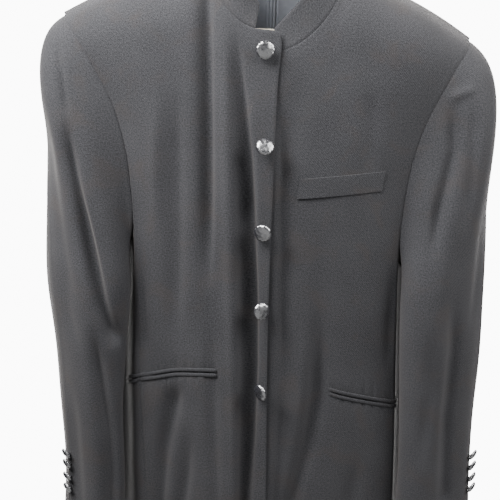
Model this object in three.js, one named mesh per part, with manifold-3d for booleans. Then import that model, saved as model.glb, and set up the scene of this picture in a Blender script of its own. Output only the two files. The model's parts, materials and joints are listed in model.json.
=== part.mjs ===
// A band-collar suit jacket hung on a plain hanger, as the pieces that a tailor cuts and sews.
// Millimetres, +Z up, the jacket's front faces -Y. The origin is where the hook rests on its rod.
// The jacket's own sizes are measured down from its right neck point and outwards from its middle.
import * as THREE from 'three';
import { mergeVertices } from 'three/addons/utils/BufferGeometryUtils.js';
import Module from 'manifold-3d';

const solids = await Module();
solids.setup();

// Cloth
const clothThick = 2;
const liningThick = 1;
const seamTrim = 0.17;
const restGap = 0.72;

// Depth of the jacket, front to back, where it hangs
const shoulderRound = 62;
const frontEdgeShare = 0.29;
const backEdgeShare = 0.52;
const lapRise = 3.6;
const lapFrom = 62;
const lapTo = 28;
const neckPower = 1.7;
const backNeckDrop = 16;
const backNeckPower = 2.4;
const backTopShare = 0.66;
const shoulderStraight = 0.78;
const hemDown = 766;
const hemLean = 0.012;

const depths = [
  { down: 0, front: 46, back: 42 },
  { down: 80, front: 66, back: 62 },
  { down: 180, front: 78, back: 76 },
  { down: 300, front: 82, back: 78 },
  { down: 450, front: 84, back: 74 },
  { down: 600, front: 88, back: 80 },
  { down: 770, front: 92, back: 86 },
];

// Armhole, measured from the shoulder tip: how far down, and how far in as a share of its inset
const armholeFront = [
  { drop: 0, inset: 0 },
  { drop: 12, inset: 0.11 },
  { drop: 30, inset: 0.29 },
  { drop: 52, inset: 0.45 },
  { drop: 74, inset: 0.6 },
  { drop: 98, inset: 0.75 },
  { drop: 122, inset: 0.84 },
  { drop: 148, inset: 0.92 },
  { drop: 177, inset: 0.96 },
  { drop: 206, inset: 0.99 },
  { drop: 235, inset: 1 },
];
const armholeBack = [
  { drop: 0, inset: 0 },
  { drop: 14, inset: 8 },
  { drop: 34, inset: 18 },
  { drop: 62, inset: 27 },
  { drop: 95, inset: 33 },
  { drop: 130, inset: 36 },
  { drop: 165, inset: 37 },
  { drop: 200, inset: 34 },
  { drop: 229, inset: 29 },
];
const underarmDrop = [0, 14, 23, 25, 15, 0];

const right = {
  name: 'right',
  sign: -1,
  neckX: 70,
  neckDown: 0,
  tipX: 232,
  tipDown: 63,
  armholeInset: 84.5,
  collarEnd: 13.6,
  collarEndDown: 82,
  edge: [
    { down: 84, x: -11 },
    { down: 90, x: -14.8 },
    { down: 102, x: -13.8 },
    { down: 136, x: -10.8 },
    { down: 200, x: -9.4 },
    { down: 300, x: -7.8 },
    { down: 400, x: -6.8 },
    { down: 500, x: -8 },
    { down: 640, x: -10.5 },
    { down: 780, x: -12 },
  ],
  // How the body turns back from the front seam to the back seam, as x and y at each height
  flank: [
    {
      down: 290, seam: 147.5, bulge: [150, -44], hollow: [154, -19],
      turn: [168, 5], outer: [188, 21], back: 203,
    },
    {
      down: 370, seam: 145.5, bulge: [150.5, -47], hollow: [157, -20],
      turn: [169, 4], outer: [189, 22], back: 203,
    },
    {
      down: 450, seam: 143.5, bulge: [155, -52], hollow: [163, -23],
      turn: [171, 4], outer: [192, 24], back: 205,
    },
    {
      down: 600, seam: 137, bulge: [153, -57], hollow: [162, -26],
      turn: [172, 3], outer: [195, 26], back: 209,
    },
    {
      down: 780, seam: 132, bulge: [152, -60], hollow: [166, -28],
      turn: [178, 5], outer: [200, 28], back: 214,
    },
  ],
  sleeve: [
    { down: 372, inner: 150.5, outer: 261.5, middleY: -38, halfDepth: 52 },
    { down: 450, inner: 158, outer: 250.5, middleY: -41, halfDepth: 49 },
    { down: 520, inner: 163, outer: 247, middleY: -45, halfDepth: 45 },
    { down: 600, inner: 160.5, outer: 241, middleY: -50, halfDepth: 41 },
    { down: 680, inner: 161.5, outer: 245, middleY: -54, halfDepth: 39 },
  ],
  sleeveTurn: 0,
  cuffDown: 668,
};
const left = {
  name: 'left',
  sign: 1,
  neckX: 84,
  neckDown: 10,
  tipX: 231,
  tipDown: 82,
  armholeInset: 77,
  collarEnd: 6.9,
  collarEndDown: 105.6,
  edge: [
    { down: 104, x: -15 },
    { down: 112, x: -20 },
    { down: 300, x: -22 },
    { down: 780, x: -20 },
  ],
  flank: [
    {
      down: 305, seam: 153.5, bulge: [156, -45], hollow: [159, -20],
      turn: [171, 6], outer: [191, 22], back: 203,
    },
    {
      down: 380, seam: 155.5, bulge: [159, -45], hollow: [162, -20],
      turn: [174, 6], outer: [193, 23], back: 205,
    },
    {
      down: 450, seam: 158.5, bulge: [163, -44], hollow: [167, -20],
      turn: [178, 6], outer: [196, 24], back: 208,
    },
    {
      down: 600, seam: 165, bulge: [170, -46], hollow: [175, -20],
      turn: [184, 6], outer: [202, 26], back: 214,
    },
    {
      down: 780, seam: 168, bulge: [175, -50], hollow: [182, -22],
      turn: [192, 6], outer: [210, 28], back: 220,
    },
  ],
  sleeve: [
    { down: 385, inner: 159.5, outer: 268, middleY: -38, halfDepth: 52 },
    { down: 450, inner: 163, outer: 269.5, middleY: -41, halfDepth: 49 },
    { down: 520, inner: 167, outer: 266, middleY: -45, halfDepth: 45 },
    { down: 600, inner: 169.5, outer: 266.5, middleY: -50, halfDepth: 41 },
    { down: 680, inner: 167, outer: 272, middleY: -53, halfDepth: 40 },
  ],
  sleeveTurn: 22,
  cuffDown: 664,
};

// Grid steps along each seam; the pieces that meet there share them
const lapSteps = 3;
const neckSteps = 7;
const shoulderSteps = 7;
const frontArmSteps = 10;
const flankSteps = 5;
const backArmSteps = 8;
const bodySteps = 9;
const backNeckSteps = 4;
const capSteps = 8;
const sleeveSteps = 7;
const armSteps = frontArmSteps + flankSteps + backArmSteps;
const hindSeam = armSteps - 2;
const foreSeam = frontArmSteps + 2;

// How the sleeve's ring turns round its armhole, in degrees from straight out; -90 is the front
const ringTurn = { tip: -66, frontLow: -168, backLow: -235 };
const ringSkew = 0.46;

// How the sleeve leaves the armhole, at the tip and low down, as shares of its run to the ring below
const capCrowd = 1.5;
const leave = {
  outTip: 0.95, outFront: 0.2, outBack: 0.85, aside: 0.3,
  fallTip: 0.35, fallLow: 1, pullTip: 0.75, pullLow: 0.9,
};
const arrivePull = 0.9;

// Folds fade out along their run more slowly than across it, and near a seam
const foldStretch = 0.35;
const seamFade = 0.12;

// Cosines between a piece's own direction and its seam's, from which the seam's is taken up
const sharedFrom = [0.35, 0.8];

// The largest folds: x and how far down at each end, half width and depth; a ridge is below 0
const bodyFolds = [
  { piece: 'front', from: [-65, 75], to: [-61, 300], half: 9, deep: 3.2 },
  { piece: 'front', from: [-42, 85], to: [-20, 640], half: 12, deep: -2.6 },
  { piece: 'front', from: [-32, 120], to: [-14, 380], half: 9, deep: 4.2 },
  { piece: 'front', from: [-14, 350], to: [-9, 780], half: 10, deep: 6 },
  { piece: 'front', from: [-95, 240], to: [-98, 450], half: 16, deep: 2.6 },
  { piece: 'front', from: [-99, 470], to: [-99, 780], half: 18, deep: 4 },
  { piece: 'front', from: [24, 160], to: [33, 510], half: 9, deep: 3.6 },
  { piece: 'front', from: [65, 360], to: [66, 500], half: 14, deep: 3.4 },
  { piece: 'front', from: [66, 500], to: [40, 700], half: 18, deep: 4.6 },
  { piece: 'front', from: [111, 130], to: [116, 235], half: 12, deep: 2 },
  { piece: 'back', from: [-120, 220], to: [-128, 700], half: 20, deep: 5 },
  { piece: 'back', from: [-62, 330], to: [-52, 780], half: 22, deep: 4 },
  { piece: 'back', from: [70, 300], to: [62, 760], half: 24, deep: 4.5 },
  { piece: 'back', from: [132, 240], to: [140, 660], half: 20, deep: 5 },
];
const sleeveFolds = [
  { side: 'right', from: [217, 180], to: [191, 322], half: 13, deep: 5 },
  { side: 'right', from: [191, 322], to: [158, 440], half: 14, deep: 6 },
  { side: 'right', from: [178, 450], to: [176, 680], half: 16, deep: 4 },
  { side: 'left', from: [203, 160], to: [187, 320], half: 11, deep: 5 },
  { side: 'left', from: [226, 165], to: [219, 310], half: 10, deep: 4.5 },
  { side: 'left', from: [222, 330], to: [226, 640], half: 16, deep: 4 },
];

// Collar band
const collarTall = 33;
const collarLean = 0.3;
const collarSteps = 3;
const collarEndDip = 7;
const collarUpright = { plain: 0.25, atEnd: 0.7 };
const collarTrim = { plain: 0.5, nearShoulder: 1.9 };
const armholeTrim = 0.62;

// Pockets
const welt = { from: [38, 238], to: [131.5, 229], tall: 22.3, slant: 3, thick: 1.6, steps: 10 };
const hipLip = {
  tall: 4.6, slot: 1.4, thick: 1.5, steps: 38, aimY: -12, turnStep: 0.004, pastEdge: 0.012,
};
const hipPockets = {
  right: { start: 50, startDown: 457, long: 146, fall: 0.01, bow: 38, aimX: 98 },
  left: { start: 80, startDown: 479, long: 146, fall: 0.27, bow: 0, aimX: 112 },
};

// Buttons: lathe sizes, then where each front one sits and how its head lies
const frontButton = { radius: 10, dome: 3.2, rim: 2.2, shankRadius: 2.4, segments: 18 };
const cuffButton = { radius: 7.4, dome: 2.4, rim: 1.8, shankRadius: 2, segments: 12 };
const frontButtons = [
  { x: -3.3, down: 105, nod: 8, swing: 6, shank: 4.5 },
  { x: -1.4, down: 204, nod: -27, swing: 5, shank: 6 },
  { x: -0.2, down: 296, nod: 10, swing: -10, shank: 5 },
  { x: 0.6, down: 384, nod: -6, swing: 34, shank: 7.2 },
  { x: 1.6, down: 480, nod: 8, swing: -38, shank: 7.6 },
];
const cuffButtonsAt = { right: [577, 590.5, 607, 621.5], left: [575.5, 589.5, 604.5, 618] };
const cuffShank = 3;
const cuffBeside = 2.5;
const cuffTip = 24;

// Back neck lining
const neckLining = {
  side: 58, top: 16, gap: 0.9, bottom: 128, columns: 14, rows: 5, pleat: 2.6, pleatHalf: 7,
};

// Hanger: a plain moulded tube with a wire hook
const hanger = {
  x: 5,
  tube: 5.5,
  reach: 186,
  apexDown: -14,
  barDown: 81,
  barLean: 0.035,
  barRadius: 4.6,
  corner: 20,
  wire: 1.9,
  hookRadius: 21,
  hookTop: 98,
  sides: 8,
};

const wool = new THREE.MeshStandardMaterial({ color: 0x2b2b2d, roughness: 0.9, metalness: 0 });
const satin = new THREE.MeshStandardMaterial({ color: 0x1b1b1f, roughness: 0.35, metalness: 0 });
const liningCloth = new THREE.MeshStandardMaterial({ color: 0x4b505c, roughness: 0.45, metalness: 0 });
const hangerPlastic = new THREE.MeshStandardMaterial({ color: 0xece8dd, roughness: 0.4, metalness: 0 });
const hookSteel = new THREE.MeshStandardMaterial({ color: 0xb9bbbd, roughness: 0.3, metalness: 1 });

const { clamp, degToRad, lerp, smoothstep } = THREE.MathUtils;

// A smooth curve through one column of a table, read at another
function column(rows, key, by = 'down', part = null) {
  const at = rows.map((row) => row[by]);
  const value = rows.map((row) => (part === null ? row[key] : row[key][part]));
  const slope = value.map((_, i) => {
    const a = Math.max(i - 1, 0);
    const b = Math.min(i + 1, rows.length - 1);
    return (value[b] - value[a]) / (at[b] - at[a]);
  });
  return (where) => {
    let i = 0;
    while (i < rows.length - 2 && where > at[i + 1]) i += 1;
    const step = at[i + 1] - at[i];
    const t = clamp((where - at[i]) / step, 0, 1);
    const t2 = t * t;
    const t3 = t2 * t;
    const start = (2 * t3 - 3 * t2 + 1) * value[i] + (t3 - 2 * t2 + t) * step * slope[i];
    const end = (3 * t2 - 2 * t3) * value[i + 1] + (t3 - t2) * step * slope[i + 1];
    return start + end;
  };
}

const frontDepth = column(depths, 'front');
const backDepth = column(depths, 'back');
for (const side of [right, left]) {
  side.edgeX = column(side.edge, 'x');
  side.seamX = column(side.flank, 'seam');
  side.backX = column(side.flank, 'back');
  side.armFrontX = column(armholeFront, 'inset', 'drop');
  side.armBackX = column(armholeBack, 'inset', 'drop');
  side.hem = (out) => hemDown + hemLean * side.sign * out;
  side.frontLow = side.tipDown + armholeFront.at(-1).drop;
  side.backLow = side.tipDown + armholeBack.at(-1).drop;
}

// The shoulder line: how far down the ridge is at a distance out
function ridgeDown(side, out) {
  const t = (out - side.neckX) / (side.tipX - side.neckX);
  const bend = (1 - shoulderStraight) * Math.max(t, 0) ** 3;
  return side.neckDown + (side.tipDown - side.neckDown) * (shoulderStraight * t + bend);
}

// Where the front and back end, out from the middle, at a height
function frontEnd(side, down) {
  if (down <= side.tipDown) return side.tipX;
  if (down > side.frontLow - 0.01) return side.seamX(down);
  return side.tipX - side.armholeInset * side.armFrontX(down - side.tipDown);
}

function backEnd(side, down) {
  if (down <= side.tipDown) return side.tipX;
  if (down > side.backLow - 0.01) return side.backX(down);
  return side.tipX - side.armBackX(down - side.tipDown);
}

function roundOver(side, out, down) {
  const q = clamp((down - ridgeDown(side, Math.max(out, -10))) / shoulderRound, 0, 1);
  return Math.sqrt(1 - (1 - q) * (1 - q));
}

// How deep the folds are at a point of a piece, in millimetres in from the smooth cloth
function foldDepth(folds, x, down) {
  let deep = 0;
  for (const fold of folds) {
    const [ax, ad] = fold.from;
    const [bx, bd] = fold.to;
    const run = (bx - ax) ** 2 + (bd - ad) ** 2;
    const t = clamp(((x - ax) * (bx - ax) + (down - ad) * (bd - ad)) / run, 0, 1);
    const away = Math.hypot(x - lerp(ax, bx, t), (down - lerp(ad, bd, t)) * foldStretch);
    deep += fold.deep * Math.exp(-((away / fold.half) ** 2));
  }
  return deep;
}

const foldsOf = (piece) => bodyFolds.filter((fold) => fold.piece === piece);

function frontY(side, out, down) {
  const share = clamp(out / frontEnd(side, down), 0, 1.1);
  const crown = 1 - frontEdgeShare * share ** 3;
  const lap = side === right ? lapRise * (1 - smoothstep(out, lapTo, lapFrom)) : 0;
  const open = roundOver(side, out, down);
  const fade = clamp((1 - share) / seamFade, 0, 1) * open;
  const fold = foldDepth(foldsOf('front'), side.sign * out, down) * fade;
  return -frontDepth(down) * open * crown - lap * open + fold;
}

function backY(side, out, down) {
  const share = clamp(out / backEnd(side, down), 0, 1);
  const edge = lerp(backTopShare, backEdgeShare, smoothstep(down, side.tipDown + 60, side.backLow));
  const crown = edge + (1 - edge) * Math.sqrt(1 - share ** 4);
  const fade = clamp((1 - share) / seamFade, 0, 1) * roundOver(side, out, down);
  const fold = foldDepth(foldsOf('back'), side.sign * out, down) * fade;
  return backDepth(down) * roundOver(side, out, down) * crown - fold;
}

const frontPoint = (side, out, down) => new THREE.Vector3(side.sign * out, frontY(side, out, down), -down);
const backPoint = (side, out, down) => new THREE.Vector3(side.sign * out, backY(side, out, down), -down);

// A grid between four edges given as lists of [out, down]; top and hem run out, start and end run down.
// The columns run straight from top to hem, and lean to the end edges' curves only near them.
function fill(top, hem, start, end) {
  const reach = (line, key) => line.map((p) => (p[key] - line[0][key]) / (line.at(-1)[key] - line[0][key]));
  const topShare = reach(top, 0);
  const hemShare = reach(hem, 0);
  const fall = reach(end, 1);
  return start.map((_, i) => top.map((__, j) => {
    if (j === 0) return start[i];
    if (j === top.length - 1) return end[i];
    const v = fall[i];
    const u = lerp(topShare[j], hemShare[j], v);
    return [0, 1].map((k) => {
      const straight = lerp(top[j][k], hem[j][k], v);
      const startBend = start[i][k] - lerp(start[0][k], start.at(-1)[k], v);
      const endBend = end[i][k] - lerp(end[0][k], end.at(-1)[k], v);
      return straight + (1 - u) ** 2 * startBend + u ** 2 * endBend;
    });
  }));
}

function neckLine(side) {
  const power = 2 / neckPower;
  const drop = side.collarEndDown - side.neckDown;
  return Array.from({ length: neckSteps + 1 }, (_, i) => {
    const turn = (i / neckSteps) * (Math.PI / 2);
    const out = side.collarEnd + (side.neckX - side.collarEnd) * Math.sin(turn) ** power;
    return [out, side.neckDown + drop * Math.max(Math.cos(turn), 0) ** power];
  });
}

function shoulderLine(side) {
  return Array.from({ length: shoulderSteps + 1 }, (_, i) => {
    const out = lerp(side.neckX, side.tipX, i / shoulderSteps);
    return [out, ridgeDown(side, out)];
  });
}

// The outer edge of a front or back: its armhole, then its long seam to the hem
function outerEdge(side, rows, low, steps, endOf) {
  const arm = rows.slice(0, steps).map(({ drop }) => {
    const down = side.tipDown + drop;
    return [endOf(side, down), down];
  });
  const hem = side.hem(endOf(side, hemDown));
  const seam = Array.from({ length: bodySteps + 1 }, (_, i) => {
    const down = lerp(low, hem, i / bodySteps);
    return [endOf(side, down), down];
  });
  return [...arm, ...seam];
}

function frontGrid(side) {
  const corner = side.edge[0];
  const lap = Array.from({ length: lapSteps }, (_, i) => {
    const t = i / lapSteps;
    return [lerp(corner.x, side.collarEnd, t), lerp(corner.down, side.collarEndDown, t)];
  });
  const top = [...lap, ...neckLine(side), ...shoulderLine(side).slice(1)];
  const end = outerEdge(side, armholeFront, side.frontLow, frontArmSteps, frontEnd);
  const hemStart = side.edgeX(hemDown);
  const hemEnd = side.seamX(hemDown);
  const lapWide = (side.collarEnd - corner.x) / lapSteps;
  const hem = top.map((_, j) => {
    const inLap = Math.min(j, lapSteps) * lapWide;
    const rest = Math.max(j - lapSteps, 0) / (top.length - 1 - lapSteps);
    const out = hemStart + inLap + rest * (hemEnd - hemStart - lapSteps * lapWide);
    return [out, side.hem(out)];
  });
  const first = end[0][1];
  const last = end.at(-1)[1];
  const start = end.map((p) => {
    const down = lerp(corner.down, hem[0][1], (p[1] - first) / (last - first));
    return [side.edgeX(down), down];
  });
  return fill(top, hem, start, end).map((row) => row.map(([out, down]) => frontPoint(side, out, down)));
}

function backGrid(side) {
  const napeDown = (right.neckDown + left.neckDown) / 2 + backNeckDrop;
  const neck = Array.from({ length: backNeckSteps }, (_, i) => {
    const t = i / backNeckSteps;
    return [side.neckX * t, lerp(napeDown, side.neckDown, t ** backNeckPower)];
  });
  const top = [...neck, ...shoulderLine(side)];
  const end = outerEdge(side, armholeBack, side.backLow, backArmSteps, backEnd);
  const hem = top.map((_, j) => {
    const out = (j / (top.length - 1)) * side.backX(hemDown);
    return [out, side.hem(out)];
  });
  const first = end[0][1];
  const last = end.at(-1)[1];
  const start = end.map((p) => [0, lerp(napeDown, hemDown, (p[1] - first) / (last - first))]);
  return fill(top, hem, start, end).map((row) => row.map(([out, down]) => backPoint(side, out, down)));
}

// The side panel's columns are its rails, so its edges are the front's and the back's own
function flankGrid(side) {
  const rails = ['bulge', 'hollow', 'turn', 'outer'].map((key) => [
    column(side.flank, key, 'down', 0),
    column(side.flank, key, 'down', 1),
  ]);
  const middle = (k, down) => {
    const [x, y] = rails[k - 1];
    return new THREE.Vector3(side.sign * x(down), y(down), -down);
  };
  return Array.from({ length: bodySteps + 1 }, (_, i) => underarmDrop.map((drop, k) => {
    const along = k / flankSteps;
    const low = lerp(side.frontLow, side.backLow, along) + drop;
    const hemOut = lerp(side.seamX(hemDown), side.backX(hemDown), along);
    const down = lerp(low, side.hem(hemOut), i / bodySteps);
    if (k === 0) return frontPoint(side, frontEnd(side, down), down);
    if (k === flankSteps) return backPoint(side, backEnd(side, down), down);
    return middle(k, down);
  }));
}

// The cap's rows lie close together at the armhole
const capShare = (i) => (i / capSteps) ** capCrowd;

function sleeveGrid(side, loop) {
  const inner = column(side.sleeve, 'inner');
  const outer = column(side.sleeve, 'outer');
  const middleY = column(side.sleeve, 'middleY');
  const halfDepth = column(side.sleeve, 'halfDepth');
  const ring = (turn, down) => {
    const middle = (inner(down) + outer(down)) / 2;
    const half = (outer(down) - inner(down)) / 2;
    const wide = half * Math.sqrt(1 - ringSkew ** 2);
    const out = middle + wide * Math.cos(turn) + half * ringSkew * Math.sin(turn);
    return new THREE.Vector3(side.sign * out, middleY(down) + halfDepth(down) * Math.sin(turn), -down);
  };
  const turnAt = (j) => {
    const tip = ringTurn.tip + side.sleeveTurn;
    const frontLow = ringTurn.frontLow + side.sleeveTurn * 0.35;
    const backLow = ringTurn.backLow + side.sleeveTurn * 0.5;
    if (j <= frontArmSteps) return lerp(tip, frontLow, j / frontArmSteps);
    const under = j - frontArmSteps;
    if (under <= flankSteps) return lerp(frontLow, backLow, under / flankSteps);
    return lerp(backLow, tip - 360, (under - flankSteps) / backArmSteps);
  };
  const join = side.sleeve[0].down;
  const grid = Array.from({ length: capSteps + sleeveSteps + 1 }, () => []);
  for (let j = 0; j < armSteps; j += 1) {
    const turn = degToRad(turnAt(j));
    const start = loop[j];
    const target = ring(turn, join);
    const chord = start.distanceTo(target);
    const low = clamp((-start.z - side.tipDown) / armholeFront.at(-1).drop, 0, 1);
    const out = side.sign * lerp(leave.outTip, j > frontArmSteps ? leave.outBack : leave.outFront, low);
    const fall = lerp(leave.fallTip, leave.fallLow, low);
    const away = new THREE.Vector3(out, Math.sin(turn) * leave.aside, -fall);
    away.setLength(chord * lerp(leave.pullTip, leave.pullLow, low));
    const arrive = new THREE.Vector3(0, 0, -chord * arrivePull);
    for (let i = 0; i <= capSteps; i += 1) {
      const t = capShare(i);
      const t2 = t * t;
      const t3 = t2 * t;
      const p = start.clone().multiplyScalar(2 * t3 - 3 * t2 + 1);
      p.addScaledVector(away, t3 - 2 * t2 + t);
      p.addScaledVector(target, 3 * t2 - 2 * t3);
      p.addScaledVector(arrive, t3 - t2);
      grid[i].push(p);
    }
    for (let i = 1; i <= sleeveSteps; i += 1) {
      grid[capSteps + i].push(ring(turn, lerp(join, side.cuffDown, i / sleeveSteps)));
    }
  }
  return grid.map((row) => [...row, row[0].clone()]);
}

// Outward directions of a grid; a closed grid's first and last columns are the same
function gridNormals(grid, flip, closed = false) {
  const rows = grid.length - 1;
  const columns = grid[0].length - 1;
  return grid.map((row, i) => row.map((_, j) => {
    const before = closed && j === 0 ? grid[i][columns - 1] : grid[i][Math.max(j - 1, 0)];
    const after = closed && j === columns ? grid[i][1] : grid[i][Math.min(j + 1, columns)];
    const above = grid[Math.max(i - 1, 0)][j];
    const below = grid[Math.min(i + 1, rows)][j];
    const across = after.clone().sub(before);
    const along = below.clone().sub(above);
    return across.cross(along).multiplyScalar(flip).normalize();
  }));
}

// Pieces wait here until the directions at their shared seams are settled
const pieces = [];
function addPiece(name, grid, normals, thick, material, trim = () => seamTrim) {
  pieces.push({ name, grid, normals, thick, material, trim });
}

const isEdge = (grid, i, j) => i === 0 || j === 0 || i === grid.length - 1 || j === grid[0].length - 1;
const placeOf = (p) => [p.x, p.y, p.z].map((n) => Math.round(n * 20)).join(' ');

// Pieces that meet along a seam get one outward direction there, so their edges lie face to face.
// Under the arm the cloth folds back on itself, so the body and the sleeve keep their own there.
function settleSeams(fixed) {
  const sums = new Map();
  const keyOf = (name, p) => `${name.includes('sleeve')} ${placeOf(p)}`;
  for (const { name, grid, normals } of pieces) {
    grid.forEach((row, i) => row.forEach((p, j) => {
      if (!isEdge(grid, i, j)) return;
      const key = keyOf(name, p);
      if (!sums.has(key)) sums.set(key, new THREE.Vector3());
      sums.get(key).add(normals[i][j]);
    }));
  }
  for (const { name, grid, normals } of pieces) {
    grid.forEach((row, i) => row.forEach((p, j) => {
      if (!isEdge(grid, i, j)) return;
      const own = sums.get(keyOf(name, p)).clone().normalize();
      const shared = fixed.get(placeOf(p)) ?? own;
      normals[i][j] = own.clone().lerp(shared, smoothstep(own.dot(shared), ...sharedFrom)).normalize();
    }));
  }
}

// Moves an edge point into its own piece, square to the seam
function trimmed(grid, normals, i, j, trim) {
  const p = grid[i][j].clone();
  const rows = grid.length - 1;
  const columns = grid[0].length - 1;
  const normal = normals[i][j];
  const shift = (towards, a, b) => {
    const along = b.clone().sub(a).normalize();
    const into = towards.clone().sub(grid[i][j]);
    into.addScaledVector(along, -into.dot(along));
    into.addScaledVector(normal, -into.dot(normal));
    p.addScaledVector(into.normalize(), trim);
  };
  const leftOf = grid[i][Math.max(j - 1, 0)];
  const rightOf = grid[i][Math.min(j + 1, columns)];
  const above = grid[Math.max(i - 1, 0)][j];
  const below = grid[Math.min(i + 1, rows)][j];
  if (i === 0) shift(below, leftOf, rightOf);
  if (i === rows) shift(above, leftOf, rightOf);
  if (j === 0) shift(rightOf, above, below);
  if (j === columns) shift(leftOf, above, below);
  return p;
}

function closedMesh(name, points, triangles, material) {
  let volume = 0;
  for (const [a, b, c] of triangles) volume += points[a].dot(points[b].clone().cross(points[c]));
  const faces = volume < 0 ? triangles.map(([a, b, c]) => [a, c, b]) : triangles;
  const geometry = new THREE.BufferGeometry();
  const places = points.flatMap((p) => [p.x, p.y, p.z]);
  geometry.setAttribute('position', new THREE.Float32BufferAttribute(places, 3));
  geometry.setIndex(faces.flat());
  geometry.computeVertexNormals();
  const mesh = new THREE.Mesh(geometry, material);
  mesh.name = name;
  return mesh;
}

// Faces of two equal grids of points, the second one half on in the list, and the rim round them
function twoSkins(rows, columns, half) {
  const at = (i, j) => i * columns + j;
  const triangles = [];
  for (let i = 0; i < rows - 1; i += 1) {
    for (let j = 0; j < columns - 1; j += 1) {
      const [a, b, c, d] = [at(i, j), at(i, j + 1), at(i + 1, j + 1), at(i + 1, j)];
      triangles.push([a, d, c], [a, c, b], [half + a, half + c, half + d], [half + a, half + b, half + c]);
    }
  }
  const rim = [];
  for (let j = 0; j < columns; j += 1) rim.push(at(0, j));
  for (let i = 1; i < rows; i += 1) rim.push(at(i, columns - 1));
  for (let j = columns - 2; j >= 0; j -= 1) rim.push(at(rows - 1, j));
  for (let i = rows - 2; i > 0; i -= 1) rim.push(at(i, 0));
  return { triangles, rim };
}

// A wall of cloth: the outer grid, the same moved in by the cloth's thickness, and its cut edges
function wall({ name, grid, normals, thick, material, trim }) {
  const outer = grid.map((row, i) => row.map((_, j) => trimmed(grid, normals, i, j, trim(i, j)))).flat();
  const flat = normals.flat();
  const inner = outer.map((p, k) => p.clone().addScaledVector(flat[k], -thick));
  const half = outer.length;
  const { triangles, rim } = twoSkins(grid.length, grid[0].length, half);
  // Both pieces at a seam split their edge faces along the same diagonal
  const seam = grid.flat();
  rim.forEach((a, k) => {
    const b = rim[(k + 1) % rim.length];
    const order = (seam[a].x - seam[b].x) || (seam[a].y - seam[b].y) || (seam[a].z - seam[b].z);
    if (order < 0) triangles.push([a, b, half + b], [a, half + b, half + a]);
    else triangles.push([a, b, half + a], [b, half + b, half + a]);
  });
  return closedMesh(name, [...outer, ...inner], triangles, material);
}

const jacket = new THREE.Group();

// Body panels, then the armhole as one loop: down the front, under the arm, up the back
const seamDirections = new Map();
const skins = [];
for (const side of [right, left]) {
  const front = frontGrid(side);
  const back = backGrid(side);
  const flank = flankGrid(side);
  addPiece(`front_${side.name}`, front, gridNormals(front, -side.sign), clothThick, wool);
  addPiece(`back_${side.name}`, back, gridNormals(back, side.sign), clothThick, wool);
  addPiece(`side_panel_${side.name}`, flank, gridNormals(flank, -side.sign), clothThick, wool);
  skins.push({ side, front, flank });

  const loop = [];
  for (let i = 0; i < frontArmSteps; i += 1) loop.push(front[i].at(-1));
  for (let k = 0; k < flankSteps; k += 1) loop.push(flank[0][k]);
  for (let i = backArmSteps; i > 0; i -= 1) loop.push(back[i].at(-1));
  side.loop = loop;
}
for (const side of [right, left]) {
  const centre = side.loop.reduce((sum, p) => sum.add(p), new THREE.Vector3()).divideScalar(armSteps);
  side.loop.forEach((p, k) => {
    const before = side.loop[(k + armSteps - 1) % armSteps];
    const after = side.loop[(k + 1) % armSteps];
    const along = after.clone().sub(before).normalize();
    const away = new THREE.Vector3(0, p.y - centre.y, p.z - centre.z);
    seamDirections.set(placeOf(p), away.addScaledVector(along, -away.dot(along)).normalize());
  });
}

// Sleeves: one tube from the armhole to the cuff, parted at its fore and hind seams
for (const side of [right, left]) {
  const tube = sleeveGrid(side, side.loop);
  const plain = gridNormals(tube, side.sign, true);
  const folds = sleeveFolds.filter((fold) => fold.side === side.name);
  tube.forEach((row, i) => row.forEach((p, j) => {
    const facing = clamp(-plain[i][j].y * 2, 0, 1) * smoothstep(i, 0, 3);
    const deep = foldDepth(folds, Math.abs(p.x), -p.z) * facing;
    p.addScaledVector(plain[i][j], -deep);
  }));
  const normals = gridNormals(tube, side.sign, true);
  const part = (rows, from, to) => rows.map((row) => {
    const columns = [];
    for (let j = from; j <= to; j += 1) columns.push(row[j % armSteps].clone());
    return columns;
  });
  const top = [hindSeam, foreSeam + armSteps];
  const under = [foreSeam, hindSeam];
  const trim = (i) => (i === 0 ? armholeTrim : seamTrim);
  for (const [name, span] of [['topsleeve', top], ['undersleeve', under]]) {
    addPiece(`${name}_${side.name}`, part(tube, ...span), part(normals, ...span), clothThick, wool, trim);
  }
  side.tube = tube;
  side.tubeNormals = normals;
}

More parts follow.
